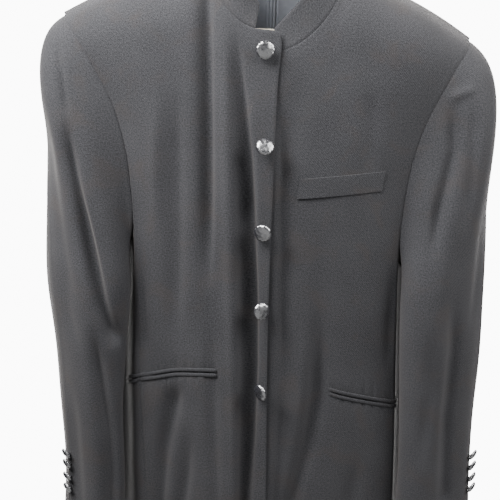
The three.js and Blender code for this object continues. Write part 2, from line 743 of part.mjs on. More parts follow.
// Collar band: it stands on the neck seam, from the right front round the back to the left front
function collarGrid() {
  const frontNeck = (k) => skins[k].front[0].slice(lapSteps, lapSteps + neckSteps + 1);
  const backNeck = (k) => backGrid([right, left][k])[0].slice(0, backNeckSteps);
  const fromRight = [...frontNeck(0), ...backNeck(0).reverse()];
  const seam = [...fromRight, ...backNeck(1).slice(1), ...frontNeck(1).reverse()];
  const last = seam.length - 1;
  const middle = seam.reduce((sum, p) => sum.add(p), new THREE.Vector3()).divideScalar(seam.length);
  const rise = seam.map((p, k) => {
    const along = seam[Math.min(k + 1, last)].clone().sub(seam[Math.max(k - 1, 0)]).normalize();
    const up = new THREE.Vector3(0, 0, 1);
    const square = up.clone().addScaledVector(along, -up.dot(along)).normalize();
    const inwards = new THREE.Vector3(middle.x - p.x, middle.y - p.y, 0).normalize();
    const nearEnd = Math.max(1 - Math.min(k, last - k) / 3, 0);
    const upright = lerp(collarUpright.plain, collarUpright.atEnd, nearEnd);
    return square.lerp(up, upright).addScaledVector(inwards, collarLean).normalize();
  });
  // The top edge runs evenly over the shoulders
  let top = seam.map((p, k) => {
    const tall = collarTall - (k === 0 || k === last ? collarEndDip : 0);
    return p.clone().addScaledVector(rise[k], tall);
  });
  for (let pass = 0; pass < 3; pass += 1) {
    top = top.map((p, k) => {
      if (k === 0 || k === last) return p;
      return p.clone().multiplyScalar(2).add(top[k - 1]).add(top[k + 1]).divideScalar(4);
    });
  }
  return Array.from({ length: collarSteps + 1 }, (_, i) => (
    seam.map((p, k) => p.clone().lerp(top[k], i / collarSteps))
  ));
}
const collar = collarGrid();
const collarEnds = collar[0].length - 1;
const trimCollar = (_, j) => {
  const fromShoulder = Math.min(Math.abs(j - neckSteps), Math.abs(j - collarEnds + neckSteps));
  return fromShoulder <= 2 ? collarTrim.nearShoulder : collarTrim.plain;
};
addPiece('collar_band', collar, gridNormals(collar, -1), clothThick, wool, trimCollar);

settleSeams(seamDirections);
const walls = new Map(pieces.map((piece) => [piece.name, wall(piece)]));
for (const mesh of walls.values()) jacket.add(mesh);

// Where a line from inside the jacket leaves a cloth wall, with the way it faces there
const caster = new THREE.Raycaster();
wool.side = THREE.DoubleSide;
function onCloth(names, from, towards) {
  caster.set(from, towards.clone().normalize());
  const hit = caster.intersectObjects(names.map((name) => walls.get(name)), false).at(-1);
  if (hit === undefined) return null;
  const facing = hit.face.normal.clone();
  if (facing.dot(towards) < 0) facing.negate();
  return { point: hit.point.clone(), facing };
}

// A thin strip that lies on the cloth: rows of points on it, moved out by a gap and by its own thickness
function strip(name, rows, thick, material) {
  const lift = (by) => rows.flat().map(({ point, facing }) => point.clone().addScaledVector(facing, by));
  const points = [...lift(restGap + thick), ...lift(restGap)];
  const half = points.length / 2;
  const { triangles, rim } = twoSkins(rows.length, rows[0].length, half);
  rim.forEach((a, k) => {
    const b = rim[(k + 1) % rim.length];
    triangles.push([a, b, half + b], [a, half + b, half + a]);
  });
  return closedMesh(name, points, triangles, material);
}

const straightOut = new THREE.Vector3(0, -1, 0);
function straightOnto(piece, x, down) {
  return onCloth([piece], new THREE.Vector3(x, -10, -down), straightOut);
}

// Chest welt, on the left front
const weltRows = [0, 0.5, 1].map((across) => Array.from({ length: welt.steps + 1 }, (_, k) => {
  const t = k / welt.steps;
  const x = lerp(welt.from[0], welt.to[0], t) - across * welt.slant;
  return straightOnto('front_left', x, lerp(welt.from[1], welt.to[1], t) + across * welt.tall);
}));
jacket.add(strip('chest_welt', weltRows, welt.thick, wool));

// Hip pockets: two lips with the slot between them, across the front and on to the side panel
for (const side of [right, left]) {
  const pocket = hipPockets[side.name];
  const names = [`front_${side.name}`, `side_panel_${side.name}`];
  const aim = (turn, down) => {
    const from = new THREE.Vector3(side.sign * pocket.aimX, hipLip.aimY, -down);
    const towards = new THREE.Vector3(side.sign * Math.sin(turn), -Math.cos(turn), 0);
    return onCloth(names, from, towards) ?? aim(turn + hipLip.pastEdge, down);
  };
  const fallAt = (t) => pocket.fall * pocket.long * t + pocket.bow * t * t;
  const path = [];
  const ahead = hipLip.aimY - frontY(side, pocket.start, pocket.startDown);
  let turn = Math.atan2(pocket.start - pocket.aimX, ahead);
  let gone = 0;
  let before = aim(turn, pocket.startDown).point;
  while (path.length <= hipLip.steps) {
    const now = aim(turn, pocket.startDown + fallAt(gone / pocket.long)).point;
    gone += Math.hypot(now.x - before.x, now.y - before.y);
    before = now;
    const due = Math.floor((gone + 0.5) / (pocket.long / hipLip.steps));
    while (path.length <= Math.min(due, hipLip.steps)) path.push(turn);
    turn += hipLip.turnStep;
  }
  const lipRows = (offset) => [0, 1].map((across) => path.map((at, k) => (
    aim(at, pocket.startDown + fallAt(k / hipLip.steps) + offset + across * hipLip.tall)
  )));
  jacket.add(strip(`hip_lip_upper_${side.name}`, lipRows(0), hipLip.thick, wool));
  jacket.add(strip(`hip_lip_lower_${side.name}`, lipRows(hipLip.tall + hipLip.slot), hipLip.thick, wool));
}

function asSolid(geometry) {
  const plain = geometry.clone();
  for (const key of Object.keys(plain.attributes)) if (key !== 'position') plain.deleteAttribute(key);
  const merged = mergeVertices(plain, 1e-4);
  const vertProperties = Float32Array.from(merged.attributes.position.array);
  const triVerts = Uint32Array.from(merged.index.array);
  return new solids.Manifold(new solids.Mesh({ numProp: 3, vertProperties, triVerts }));
}

function fromSolid(name, solid, material) {
  const { vertProperties, triVerts } = solid.getMesh();
  const geometry = new THREE.BufferGeometry();
  geometry.setAttribute('position', new THREE.BufferAttribute(Float32Array.from(vertProperties), 3));
  geometry.setIndex(Array.from(triVerts));
  geometry.computeVertexNormals();
  const mesh = new THREE.Mesh(geometry, material);
  mesh.name = name;
  return mesh;
}

// A domed button on a shank; its head nods and swings about the shank's top
function button(name, size, shankLong, nod, swing) {
  const { radius, dome, rim, shankRadius, segments } = size;
  const profile = [
    [0, -rim * 0.5], [radius * 0.86, -rim * 0.5], [radius, rim * 0.1], [radius, rim * 0.5],
    [radius * 0.84, rim * 0.5 + dome * 0.52], [radius * 0.48, rim * 0.5 + dome * 0.88],
    [0, rim * 0.5 + dome],
  ].map(([r, h]) => new THREE.Vector2(r, h));
  const head = new THREE.LatheGeometry(profile, segments);
  head.rotateX(Math.PI / 2);
  head.rotateX(degToRad(nod));
  head.rotateY(degToRad(swing));
  head.translate(0, 0, shankLong);
  const shank = new THREE.CylinderGeometry(shankRadius, shankRadius, shankLong, 8);
  shank.rotateX(Math.PI / 2);
  shank.translate(0, 0, shankLong / 2);
  return fromSolid(name, asSolid(head).add(asSolid(shank)), satin);
}

function seat(mesh, { point, facing }) {
  const upright = new THREE.Vector3(0, 0, 1);
  const sideways = new THREE.Vector3().crossVectors(upright, facing).normalize();
  const upwards = new THREE.Vector3().crossVectors(facing, sideways);
  mesh.quaternion.setFromRotationMatrix(new THREE.Matrix4().makeBasis(sideways, upwards, facing));
  mesh.position.copy(point).addScaledVector(facing, restGap);
  jacket.add(mesh);
}

frontButtons.forEach(({ x, down, nod, swing, shank }, k) => {
  const place = straightOnto('front_right', x, down);
  seat(button(`front_button_${k + 1}`, frontButton, shank, nod, swing), place);
});

for (const side of [right, left]) {
  const names = [`topsleeve_${side.name}`, `undersleeve_${side.name}`];
  cuffButtonsAt[side.name].forEach((down, k) => {
    const rows = side.tube.map((row) => row[hindSeam]);
    const i = rows.findIndex((p) => -p.z > down);
    const t = (down + rows[i - 1].z) / (rows[i - 1].z - rows[i].z);
    const onSeam = rows[i - 1].clone().lerp(rows[i], t);
    const facing = side.tubeNormals[i][hindSeam].clone().setZ(0).normalize();
    const beside = new THREE.Vector3(0, 0, 1).cross(facing).multiplyScalar(side.sign * -cuffBeside);
    const from = onSeam.clone().addScaledVector(facing, -cuffButton.radius).add(beside);
    const place = onCloth(names, from, facing);
    seat(button(`cuff_button_${side.name}_${k + 1}`, cuffButton, cuffShank, cuffTip, 0), place);
  });
}

// Back neck lining, with its ease pleat at the middle
const liningGrid = Array.from({ length: neckLining.rows + 1 }, (_, i) => (
  Array.from({ length: neckLining.columns + 1 }, (__, j) => {
    const x = lerp(-neckLining.side, neckLining.side, j / neckLining.columns) + hanger.x;
    const side = x < 0 ? right : left;
    const top = neckLining.top + backNeckDrop * (1 - (x / left.neckX) ** 2);
    return backPoint(side, Math.abs(x), lerp(top, neckLining.bottom, i / neckLining.rows));
  })
));
const liningInwards = gridNormals(liningGrid, -1);
liningGrid.forEach((row, i) => row.forEach((p, j) => {
  const pleat = neckLining.pleat * Math.exp(-(((p.x - hanger.x) / neckLining.pleatHalf) ** 2));
  p.addScaledVector(liningInwards[i][j], clothThick + liningThick + neckLining.gap + pleat);
}));
const liningPiece = {
  name: 'neck_lining',
  grid: liningGrid,
  normals: gridNormals(liningGrid, -1),
  thick: liningThick,
  material: liningCloth,
  trim: () => 0,
};
jacket.add(wall(liningPiece));

// Hanger: two arms that follow the shoulders, the bar below them, and the hook
function rod(name, points, radius, steps, material) {
  const outline = new THREE.Shape();
  for (let k = 0; k < hanger.sides; k += 1) {
    const turn = (k / hanger.sides) * 2 * Math.PI;
    const place = [radius * Math.cos(turn), radius * Math.sin(turn)];
    if (k === 0) outline.moveTo(...place);
    else outline.lineTo(...place);
  }
  const stops = points.map((p) => new THREE.Vector3(...p));
  const route = new THREE.CatmullRomCurve3(stops, false, 'centripetal');
  const mesh = new THREE.Mesh(new THREE.ExtrudeGeometry(outline, { steps, extrudePath: route }), material);
  mesh.name = name;
  return mesh;
}

const armBelow = clothThick * 1.25 + hanger.tube * 1.2 + restGap;
const armDown = (side, out) => ridgeDown(side, out) + armBelow;
const armPoints = [
  [-hanger.reach, 0, -armDown(right, hanger.reach)],
  [-hanger.reach * 0.72, 0, -armDown(right, hanger.reach * 0.72)],
  [-hanger.reach * 0.42, 0, -armDown(right, hanger.reach * 0.42)],
  [-28, 0, -lerp(hanger.apexDown, armDown(right, hanger.reach * 0.42), 0.32)],
  [hanger.x, 0, -hanger.apexDown],
  [38, 0, -lerp(hanger.apexDown, armDown(left, hanger.reach * 0.46), 0.34)],
  [hanger.reach * 0.46, 0, -armDown(left, hanger.reach * 0.46)],
  [hanger.reach * 0.74, 0, -armDown(left, hanger.reach * 0.74)],
  [hanger.reach, 0, -armDown(left, hanger.reach)],
];
jacket.add(rod('hanger_arms', armPoints, hanger.tube, 20, hangerPlastic));

// The bar hangs from both arm ends by a short turned-down corner
const barEnd = (side) => {
  const out = hanger.reach - hanger.corner * 0.4;
  const under = armDown(side, out) + hanger.tube * 1.34 + restGap;
  return { out, under, x: side.sign * out };
};
const barDownAt = (x) => hanger.barDown + hanger.barLean * x;
const cornerPoints = (side) => {
  const { x, under } = barEnd(side);
  const inwards = -side.sign;
  return [
    [x, 0, -under],
    [x + inwards * 1.5, 0, -lerp(under, barDownAt(x), 0.55)],
    [x + inwards * hanger.corner * 0.5, 0, -barDownAt(x)],
    [x + inwards * hanger.corner * 1.6, 0, -barDownAt(x + inwards * hanger.corner * 1.6)],
  ];
};
const barPoints = [...cornerPoints(right), [0, 0, -barDownAt(0)], ...cornerPoints(left).reverse()];
jacket.add(rod('hanger_bar', barPoints, hanger.barRadius, 24, hangerPlastic));

const hookMiddle = hanger.hookTop + hanger.wire - hanger.hookRadius;
const stemFoot = hanger.tube * 1.04 - hanger.apexDown + restGap;
const hookTurns = [-62, -35, -5, 30, 60, 90, 120, 150, 180, 205].map(degToRad);
const hookPoints = [
  [hanger.x, 0, stemFoot],
  [hanger.x, 0, lerp(stemFoot, hookMiddle - hanger.hookRadius, 0.5)],
  [hanger.x + 1, 0, hookMiddle - hanger.hookRadius * 1.25],
  ...hookTurns.map((turn) => [
    hanger.x + hanger.hookRadius * Math.cos(turn), 0, hookMiddle + hanger.hookRadius * Math.sin(turn),
  ]),
];
jacket.add(rod('hanger_hook', hookPoints, hanger.wire, 28, hookSteel));

// The whole hangs from the top of the hook's inside
jacket.position.set(-hanger.x, 0, -hanger.hookTop);
const group = new THREE.Group();
group.add(jacket);
export default group;
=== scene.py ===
import json
import math

import bpy
import numpy as np
from mathutils import Matrix, Vector, noise
from mathutils.kdtree import KDTree

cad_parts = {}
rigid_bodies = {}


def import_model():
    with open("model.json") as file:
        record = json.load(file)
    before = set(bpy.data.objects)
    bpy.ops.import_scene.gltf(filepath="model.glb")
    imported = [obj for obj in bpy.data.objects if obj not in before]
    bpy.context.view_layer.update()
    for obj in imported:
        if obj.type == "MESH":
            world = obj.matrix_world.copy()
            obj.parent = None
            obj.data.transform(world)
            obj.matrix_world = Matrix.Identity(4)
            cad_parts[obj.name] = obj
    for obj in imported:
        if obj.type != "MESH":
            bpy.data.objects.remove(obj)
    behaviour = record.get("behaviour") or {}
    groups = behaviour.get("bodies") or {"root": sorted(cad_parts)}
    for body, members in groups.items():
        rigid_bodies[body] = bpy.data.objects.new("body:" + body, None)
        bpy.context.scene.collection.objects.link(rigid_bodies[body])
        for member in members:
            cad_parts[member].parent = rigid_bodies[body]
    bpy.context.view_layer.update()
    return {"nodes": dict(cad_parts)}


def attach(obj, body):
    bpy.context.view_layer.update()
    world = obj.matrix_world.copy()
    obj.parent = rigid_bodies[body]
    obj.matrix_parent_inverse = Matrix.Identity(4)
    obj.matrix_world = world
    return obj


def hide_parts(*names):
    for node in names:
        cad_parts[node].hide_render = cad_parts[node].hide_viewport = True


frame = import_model()
print("frame loaded")

mm = 0.001
snug = 0.02 * mm  # closer than this, two points are one
sharpFrom = math.radians(50)  # steeper bends than this stay sharp
waveTurn = 6.283  # a Wave texture's scale is its bands per metre over this

# the jacket's own measures run outwards from its middle and down from its right neck point, in mm
jacketAt = {"x": -5, "down": 98}

cameraFit = {
    "place": (-0.020, -0.850, -0.238),
    "pitchDown": 13,
    "roll": 1.2,
    "focalPixels": 714,
    "imagePixels": 500,
    "sensor": 36,
}

lightFit = {
    "lights": {
        "leftLight": {"place": (-0.74, -0.42, 0.58), "aim": (0.0, 0.0, -0.20), "size": 0.9, "power": 82},
        "rightLight": {"place": (1.15, -0.50, 0.60), "aim": (0.1, 0.0, -0.20), "size": 1.4, "power": 60},
    },
    # the room is dim, glows low in front of the jacket and is brightest behind it
    "worldLow": 0.02,
    "worldGlow": 0.8,
    "glowFrom": -0.16,
    "glowTo": -0.02,
    "aheadFrom": 0.35,
    "aheadTo": 0.75,
    "worldBehind": 11.0,
    "behindFrom": 0.55,
    "behindTo": 0.80,
}


def makeCamera(fit):
    data = bpy.data.cameras.new("camera")
    data.sensor_width = fit["sensor"]
    data.lens = fit["focalPixels"] / fit["imagePixels"] * fit["sensor"]
    camera = bpy.data.objects.new("camera", data)
    bpy.context.collection.objects.link(camera)
    tilt = Matrix.Rotation(math.radians(90 - fit["pitchDown"]), 4, "X")
    roll = Matrix.Rotation(math.radians(fit["roll"]), 4, "Z")
    camera.matrix_world = Matrix.Translation(fit["place"]) @ tilt @ roll
    bpy.context.scene.camera = camera


def makeLight(name, fit):
    data = bpy.data.lights.new(name, "AREA")
    data.shape = "DISK"
    data.size = fit["size"]
    data.energy = fit["power"]
    light = bpy.data.objects.new(name, data)
    bpy.context.collection.objects.link(light)
    light.location = fit["place"]
    towards = Vector(fit["aim"]) - Vector(fit["place"])
    light.rotation_euler = towards.to_track_quat("-Z", "Y").to_euler()


makeCamera(cameraFit)
for name, fit in lightFit["lights"].items():
    makeLight(name, fit)
print("camera and light placed")


# a node's socket that takes + - and *, so shader maths reads as plain sums
class Wire:
    def __init__(self, tree, socket):
        self.tree = tree
        self.socket = socket

    def maths(self, operation, first, second):
        return makeNode(self.tree, "ShaderNodeMath", {"operation": operation}, {0: first, 1: second})[0]

    def __add__(self, other):
        return self.maths("ADD", self, other)

    def __sub__(self, other):
        return self.maths("SUBTRACT", self, other)

    def __rsub__(self, other):
        return self.maths("SUBTRACT", other, self)

    def __mul__(self, other):
        return self.maths("MULTIPLY", self, other)

    __radd__ = __add__
    __rmul__ = __mul__


def setSockets(tree, node, values):
    for key, value in values.items():
        if isinstance(value, Wire):
            tree.links.new(value.socket, node.inputs[key])
        else:
            node.inputs[key].default_value = value


def makeNode(tree, kind, settings=None, sockets=None):
    node = tree.nodes.new(kind)
    for key, value in (settings or {}).items():
        if key == "stops":
            ramp = node.color_ramp
            while len(ramp.elements) < len(value):
                ramp.elements.new(0.5)
            for element, (place, colour) in zip(ramp.elements, value):
                element.position = place
                element.color = colour
        else:
            setattr(node, key, value)
    setSockets(tree, node, sockets or {})
    return [Wire(tree, socket) for socket in node.outputs]


def smoothRange(tree, value, low, high, first=0.0, last=1.0):
    return makeNode(tree, "ShaderNodeMapRange", {"interpolation_type": "SMOOTHSTEP"}, {
        "Value": value, "From Min": low, "From Max": high, "To Min": first, "To Max": last,
    })[0]


def mixColours(tree, share, first, second):
    return makeNode(tree, "ShaderNodeMix", {"data_type": "RGBA"}, {0: share, 6: first, 7: second})[2]


def startMaterial(name):
    material = bpy.data.materials.new(name)
    material.use_nodes = True
    tree = material.node_tree
    shader = tree.nodes["Principled BSDF"]
    return material, tree, shader


woolFinish = {
    "dark": (0.0115, 0.0118, 0.0135, 1),
    "light": (0.047, 0.047, 0.051, 1),
    "warm": (0.040, 0.031, 0.026, 1),
    "lint": (0.22, 0.21, 0.20, 1),
    "twillPerMetre": 1500,
    "heatherPerMetre": 640,
    "mottlePerMetre": 16,
    "tintPerMetre": 28,
    "lintPerMetre": 85,
    "heatherShare": 0.8,
    "mottleShare": 0.09,
    "lift": 0.055,
    "darkAt": 0.40,
    "lightAt": 0.62,
    "warmFrom": 0.50,
    "warmTo": 0.72,
    "warmMost": 0.25,
    "lintNear": 0.03,
    "lintRare": 0.93,
    "lintShare": 0.6,
    "twillRise": 0.7,
    "heatherRise": 0.35,
    "bumpStrength": 0.6,
    "bumpDepth": 0.0003,
    "roughness": 0.88,
    "specular": 0.18,
    "sheen": 0.10,
    "sheenRoughness": 0.5,
    "sheenTint": (0.62, 0.56, 0.52, 1),
}


def makeWool(name, finish):
    material, tree, shader = startMaterial(name)
    along = makeNode(tree, "ShaderNodeTexCoord")[2]
    twill = makeNode(tree, "ShaderNodeTexWave", {"bands_direction": "DIAGONAL"}, {
        "Vector": along, "Scale": finish["twillPerMetre"] / waveTurn, "Distortion": 1.2,
        "Detail": 2.0, "Detail Scale": 1.5,
    })[1]
    heather = makeNode(tree, "ShaderNodeTexNoise", {}, {
        "Vector": along, "Scale": finish["heatherPerMetre"], "Detail": 6.0, "Roughness": 0.75,
    })[0]
    mottle = makeNode(tree, "ShaderNodeTexNoise", {}, {
        "Vector": along, "Scale": finish["mottlePerMetre"], "Detail": 3.0,
    })[0]
    tint = makeNode(tree, "ShaderNodeTexNoise", {}, {
        "Vector": along, "Scale": finish["tintPerMetre"], "Detail": 4.0, "Distortion": 0.6,
    })[0]
    speck = makeNode(tree, "ShaderNodeTexVoronoi", {"feature": "F1"}, {
        "Vector": along, "Scale": finish["lintPerMetre"], "Randomness": 1.0,
    })
    shade = heather * finish["heatherShare"] + mottle * finish["mottleShare"] + finish["lift"]
    yarn = makeNode(tree, "ShaderNodeValToRGB", {
        "stops": [(finish["darkAt"], finish["dark"]), (finish["lightAt"], finish["light"])],
    }, {0: shade})[0]
    patch = smoothRange(tree, tint, finish["warmFrom"], finish["warmTo"], 0.0, finish["warmMost"])
    tinted = mixColours(tree, patch, yarn, finish["warm"])
    # a fleck of lint shows in a few of the cells only
    away, cell, _ = speck[:3]
    near = away.maths("LESS_THAN", away, finish["lintNear"])
    chance = makeNode(tree, "ShaderNodeSeparateColor", {}, {0: cell})[0]
    rare = chance.maths("GREATER_THAN", chance, finish["lintRare"])
    coloured = mixColours(tree, near * rare * finish["lintShare"], tinted, finish["lint"])
    bump = makeNode(tree, "ShaderNodeBump", {}, {
        "Strength": finish["bumpStrength"], "Distance": finish["bumpDepth"],
        "Height": twill * finish["twillRise"] + heather * finish["heatherRise"],
    })[0]
    setSockets(tree, shader, {
        "Base Color": coloured, "Roughness": finish["roughness"], "Normal": bump,
        "Sheen Weight": finish["sheen"], "Sheen Roughness": finish["sheenRoughness"],
        "Sheen Tint": finish["sheenTint"], "Specular IOR Level": finish["specular"],
    })
    return material


# roughness is the lowest, and spread what the cloud adds to it at most
satinFinish = {
    "colour": (0.008, 0.008, 0.010, 1),
    "fade": (0.016, 0.016, 0.020, 1),
    "cloudPerMetre": 260.0,
    "roughness": 0.20,
    "spread": 0.14,
    "specular": 1.0,
    "bending": 2.1,
    "threadPerMetre": 3200,
    "bumpStrength": 0.4,
    "bumpDepth": 0.00006,
}
liningFinish = {
    "colour": (0.30, 0.32, 0.37, 1),
    "fade": (0.42, 0.44, 0.50, 1),
    "cloudPerMetre": 260.0,
    "roughness": 0.31,
    "spread": 0.14,
    "specular": 0.7,
    "bending": 1.5,
    "threadPerMetre": 2600,
    "bumpStrength": 0.4,
    "bumpDepth": 0.0001,
}


def makeSatin(name, finish):
    material, tree, shader = startMaterial(name)
    place = makeNode(tree, "ShaderNodeTexCoord")[3]
    thread = makeNode(tree, "ShaderNodeTexWave", {"bands_direction": "X"}, {
        "Vector": place, "Scale": finish["threadPerMetre"] / waveTurn, "Distortion": 2.0, "Detail": 2.0,
    })[1]
    cloud = makeNode(tree, "ShaderNodeTexNoise", {}, {
        "Vector": place, "Scale": finish["cloudPerMetre"], "Detail": 4.0,
    })[0]
    bump = makeNode(tree, "ShaderNodeBump", {}, {
        "Strength": finish["bumpStrength"], "Distance": finish["bumpDepth"], "Height": thread + cloud * 2.0,
    })[0]
    setSockets(tree, shader, {
        "Base Color": mixColours(tree, cloud, finish["colour"], finish["fade"]),
        "Roughness": cloud * finish["spread"] + finish["roughness"], "Normal": bump,
        "Specular IOR Level": finish["specular"], "IOR": finish["bending"],
    })
    return material


plasticFinish = {
    "light": (0.80, 0.75, 0.64, 1),
    "yellowed": (0.70, 0.60, 0.44, 1),
    "stainPerMetre": 22.0,
    "stainShare": 0.6,
    "grainPerMetre": 900.0,
    "roughness": 0.28,
    "spread": 0.2,
    "bumpStrength": 0.25,
    "bumpDepth": 0.0001,
}
steelFinish = {
    "colour": (0.62, 0.62, 0.63, 1),
    "rubPerMetre": 320.0,
    "roughness": 0.14,
    "spread": 0.25,
    "bumpStrength": 0.2,
    "bumpDepth": 0.0001,
}


def makePlastic(name, finish):
    material, tree, shader = startMaterial(name)
    place = makeNode(tree, "ShaderNodeTexCoord")[3]
    stain = makeNode(tree, "ShaderNodeTexNoise", {}, {
        "Vector": place, "Scale": finish["stainPerMetre"], "Detail": 4.0,
    })[0]
    grain = makeNode(tree, "ShaderNodeTexNoise", {}, {
        "Vector": place, "Scale": finish["grainPerMetre"], "Detail": 2.0,
    })[0]
    bump = makeNode(tree, "ShaderNodeBump", {}, {
        "Strength": finish["bumpStrength"], "Distance": finish["bumpDepth"], "Height": grain,
    })[0]
    setSockets(tree, shader, {
        "Base Color": mixColours(tree, stain * finish["stainShare"], finish["light"], finish["yellowed"]),
        "Roughness": stain * finish["spread"] + finish["roughness"], "Normal": bump,
    })
    return material


def makeSteel(name, finish):
    material, tree, shader = startMaterial(name)
    place = makeNode(tree, "ShaderNodeTexCoord")[3]
    rub = makeNode(tree, "ShaderNodeTexNoise", {}, {
        "Vector": place, "Scale": finish["rubPerMetre"], "Detail": 5.0,
    })[0]
    bump = makeNode(tree, "ShaderNodeBump", {}, {
        "Strength": finish["bumpStrength"], "Distance": finish["bumpDepth"], "Height": rub,
    })[0]
    setSockets(tree, shader, {
        "Base Color": finish["colour"], "Metallic": 1.0, "Normal": bump,
        "Roughness": rub * finish["spread"] + finish["roughness"],
    })
    return material


def makeRoom(fit):
    # a soft pale room, brightest behind the jacket
    world = bpy.data.worlds.new("paleRoom")
    world.use_nodes = True
    tree = world.node_tree
    towards = makeNode(tree, "ShaderNodeTexCoord")[0]
    _, behind, above = makeNode(tree, "ShaderNodeSeparateXYZ", {}, {0: towards})
    low = smoothRange(tree, 0 - above, fit["glowFrom"], fit["glowTo"])
    ahead = smoothRange(tree, 0 - behind, fit["aheadFrom"], fit["aheadTo"])
    front = low * ahead * fit["worldGlow"] + fit["worldLow"]
    bright = smoothRange(tree, behind, fit["behindFrom"], fit["behindTo"], front, fit["worldBehind"])
    tree.nodes["Background"].inputs["Color"].default_value = (1, 1, 1, 1)
    tree.links.new(bright.socket, tree.nodes["Background"].inputs["Strength"])
    bpy.context.scene.world = world


makeRoom(lightFit)
wool = makeWool("wool", woolFinish)
satin = makeSatin("satin", satinFinish)
lining = makeSatin("lining", liningFinish)
plastic = makePlastic("plastic", plasticFinish)
steel = makeSteel("steel", steelFinish)
print("finishes made")


def pickOnly(piece):
    bpy.ops.object.select_all(action="DESELECT")
    piece.select_set(True)
    bpy.context.view_layer.objects.active = piece


def selectNone(mesh):
    for part in (mesh.vertices, mesh.edges, mesh.polygons):
        part.foreach_set("select", [False] * len(part))


def pointsOf(piece):
    points = np.empty(len(piece.data.vertices) * 3)
    piece.data.vertices.foreach_get("co", points)
    return points.reshape(-1, 3)


def putPoints(piece, points):
    piece.data.vertices.foreach_set("co", points.ravel())
    piece.data.update()


def normalsOf(piece):
    normals = np.empty(len(piece.data.vertices) * 3)
    piece.data.vertex_normals.foreach_get("vector", normals)
    return normals.reshape(-1, 3)


def copyOfNode(node, name):
    source = frame["nodes"][node]
    piece = bpy.data.objects.new(name, source.data.copy())
    bpy.context.collection.objects.link(piece)
    piece.matrix_world = source.matrix_world.copy()
    pickOnly(piece)
    bpy.ops.object.mode_set(mode="EDIT")
    bpy.ops.mesh.select_all(action="SELECT")
    bpy.ops.mesh.remove_doubles(threshold=snug)
    bpy.ops.object.mode_set(mode="OBJECT")
    return piece


def keepOuterSkin(piece, towards, thick):
    # the cut edges go first, then all but the skin with the face that lies furthest along a direction
    mesh = piece.data
    points = pointsOf(piece)
    corners = np.array([face.vertices[:] for face in mesh.polygons])
    sides = np.linalg.norm(points[corners] - points[np.roll(corners, 1, axis=1)], axis=2)
    cutEdge = np.abs(sides - thick).min(axis=1) < snug
    selectNone(mesh)
    mesh.polygons.foreach_set("select", cutEdge)
    pickOnly(piece)
    bpy.context.tool_settings.mesh_select_mode = (False, False, True)
    bpy.ops.object.mode_set(mode="EDIT")
    bpy.ops.mesh.delete(type="FACE")
    bpy.ops.object.mode_set(mode="OBJECT")
    mesh = piece.data
    far = max(mesh.polygons, key=lambda face: face.center.dot(towards) + thick * face.normal.dot(towards))
    far.select = True
    bpy.ops.object.mode_set(mode="EDIT")
    bpy.ops.mesh.select_linked()
    bpy.ops.mesh.select_all(action="INVERT")
    bpy.ops.mesh.delete(type="FACE")
    bpy.ops.object.mode_set(mode="OBJECT")
    joinSquares(piece)


def joinSquares(piece):
    # the skin is a grid of squares, each halved: from a corner, work out each triangle's square corner,
    # then dissolve the edges across from them
    mesh = piece.data
    triangles = [tuple(face.vertices) for face in mesh.polygons]
    ofEdge = {}
    uses = {}
    for k, corners in enumerate(triangles):
        for vertex in corners:
            uses[vertex] = uses.get(vertex, 0) + 1
        for first, second in zip(corners, corners[1:] + corners[:1]):
            ofEdge.setdefault(frozenset((first, second)), []).append(k)
    start = next(k for k, corners in enumerate(triangles) if any(uses[v] == 1 for v in corners))
    squareCorner = {start: next(v for v in triangles[start] if uses[v] == 1)}
    waiting = [start]
    across = set()
    while waiting:
        k = waiting.pop()
        own = squareCorner[k]
        ends = [v for v in triangles[k] if v != own]
        across.add(frozenset(ends))
        steps = [(frozenset((own, v)), v) for v in ends] + [(frozenset(ends), None)]
        for edge, theirs in steps:
            for other in ofEdge[edge]:
                if other not in squareCorner:
                    squareCorner[other] = theirs if theirs is not None else next(
                        v for v in triangles[other] if v not in edge
                    )
                    waiting.append(other)
    selectNone(mesh)
    mesh.edges.foreach_set("select", [frozenset(edge.vertices) in across for edge in mesh.edges])
    pickOnly(piece)
    bpy.context.tool_settings.mesh_select_mode = (False, True, False)
    bpy.ops.object.mode_set(mode="EDIT")
    bpy.ops.mesh.dissolve_edges(use_verts=False)
    bpy.ops.object.mode_set(mode="OBJECT")


def unwrapCloth(piece):
    # the cloth's own map, in metres, with its grain upright
    pickOnly(piece)
    bpy.ops.object.mode_set(mode="EDIT")
    bpy.ops.mesh.select_all(action="SELECT")
    bpy.ops.uv.unwrap(method="ANGLE_BASED", margin=0.0)
    bpy.ops.object.mode_set(mode="OBJECT")
    mesh = piece.data
    flat = np.empty(len(mesh.loops) * 2)
    mesh.uv_layers.active.data.foreach_get("uv", flat)
    flat = flat.reshape(-1, 2)
    corner = np.empty(len(mesh.loops), dtype=int)
    mesh.loops.foreach_get("vertex_index", corner)
    height = pointsOf(piece)[corner, 2]
    grain = np.array([np.cov(flat[:, k], height)[0, 1] for k in (0, 1)])
    grain /= np.linalg.norm(grain)
    turned = np.stack([flat @ np.array([grain[1], -grain[0]]), flat @ grain], axis=1)
    mesh.uv_layers.active.data.foreach_set("uv", turned.ravel())
    flatArea = 0.0
    for face in mesh.polygons:
        ring = turned[list(face.loop_indices)]
        after = np.roll(ring, -1, axis=0)
        flatArea += abs((ring[:, 0] * after[:, 1] - ring[:, 1] * after[:, 0]).sum()) / 2
    scale = math.sqrt(sum(face.area for face in mesh.polygons) / flatArea)
    mesh.uv_layers.active.data.foreach_set("uv", (turned * scale).ravel())


def subdivide(piece, levels, edges="ALL"):
    pickOnly(piece)
    finer = piece.modifiers.new("finer", "SUBSURF")
    finer.levels = levels
    finer.render_levels = levels
    finer.boundary_smooth = edges
    bpy.ops.object.modifier_apply(modifier=finer.name)


